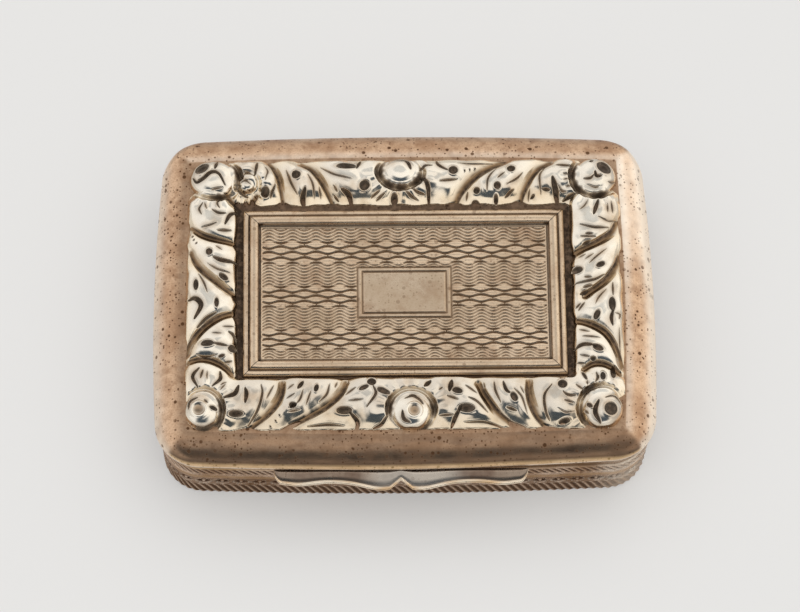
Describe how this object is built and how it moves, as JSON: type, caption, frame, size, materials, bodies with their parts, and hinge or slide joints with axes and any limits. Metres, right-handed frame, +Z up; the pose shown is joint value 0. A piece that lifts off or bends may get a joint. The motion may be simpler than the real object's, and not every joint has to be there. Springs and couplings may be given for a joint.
{
  "type": "vinaigrette",
  "caption": "Small silver scent box: hinged lid with cast leaf border, reeded moulding and engine-turned panel, thumbpiece, and a hinged pierced grille over a sponge.",
  "frame": {"origin": "middle of the flat underside that the box rests on", "axes": "+X along the box's width to its right, +Y towards the hinge at the back, +Z up through the lid"},
  "size_m": [0.0388, 0.029, 0.0103],
  "materials": {
    "silver_case": "hand-polished silver, tarnished warm grey-brown in the grooves",
    "silver_cast": "bright cast silver with dark oxide in the recesses",
    "gilt_inside": "fire-gilt silver",
    "sponge": "dry natural sponge"
  },
  "bodies": {
    "base": {"base_floor": "silver_case", "base_wall": "silver_case", "base_bezel": "gilt_inside", "base_hinge_barrels": "silver_case", "lid_hinge_pin": "silver_case", "grille_hinge_brackets": "gilt_inside", "grille_hinge_pin": "gilt_inside", "sponge": "sponge"},
    "lid": {"lid_band": "silver_case", "lid_cap": "silver_case", "lid_hinge_barrels": "silver_case", "thumbpiece": "silver_case", "border_front_left": "silver_cast", "border_front_right": "silver_cast", "border_back_left": "silver_cast", "border_back_right": "silver_cast", "border_left": "silver_cast", "border_right": "silver_cast", "corner_flower_front_left": "silver_cast", "corner_flower_front_right": "silver_cast", "corner_flower_back_left": "silver_cast", "corner_flower_back_right": "silver_cast", "centre_flower_front": "silver_cast", "centre_flower_back": "silver_cast", "moulding_front": "silver_case", "moulding_back": "silver_case", "moulding_left": "silver_case", "moulding_right": "silver_case", "engine_turned_panel": "silver_case"},
    "grille": {"grille_plate": "gilt_inside", "grille_hinge_barrels": "gilt_inside", "grille_lift_tab": "gilt_inside"}
  },
  "joints": [
    {"name": "lid_hinge", "type": "hinge", "parent": "base", "child": "lid", "pos_m": [0, 0.01335, 0.00443], "axis": [-1, 0, 0], "range_deg": [0, 110]},
    {"name": "grille_hinge", "type": "hinge", "parent": "base", "child": "grille", "pos_m": [0, 0.01127, 0.00482], "axis": [-1, 0, 0], "range_deg": [0, 88]}
  ],
  "couplings": [
    {"joint": "grille_hinge", "follows": "lid_hinge", "ratio": 0.8}
  ]
}
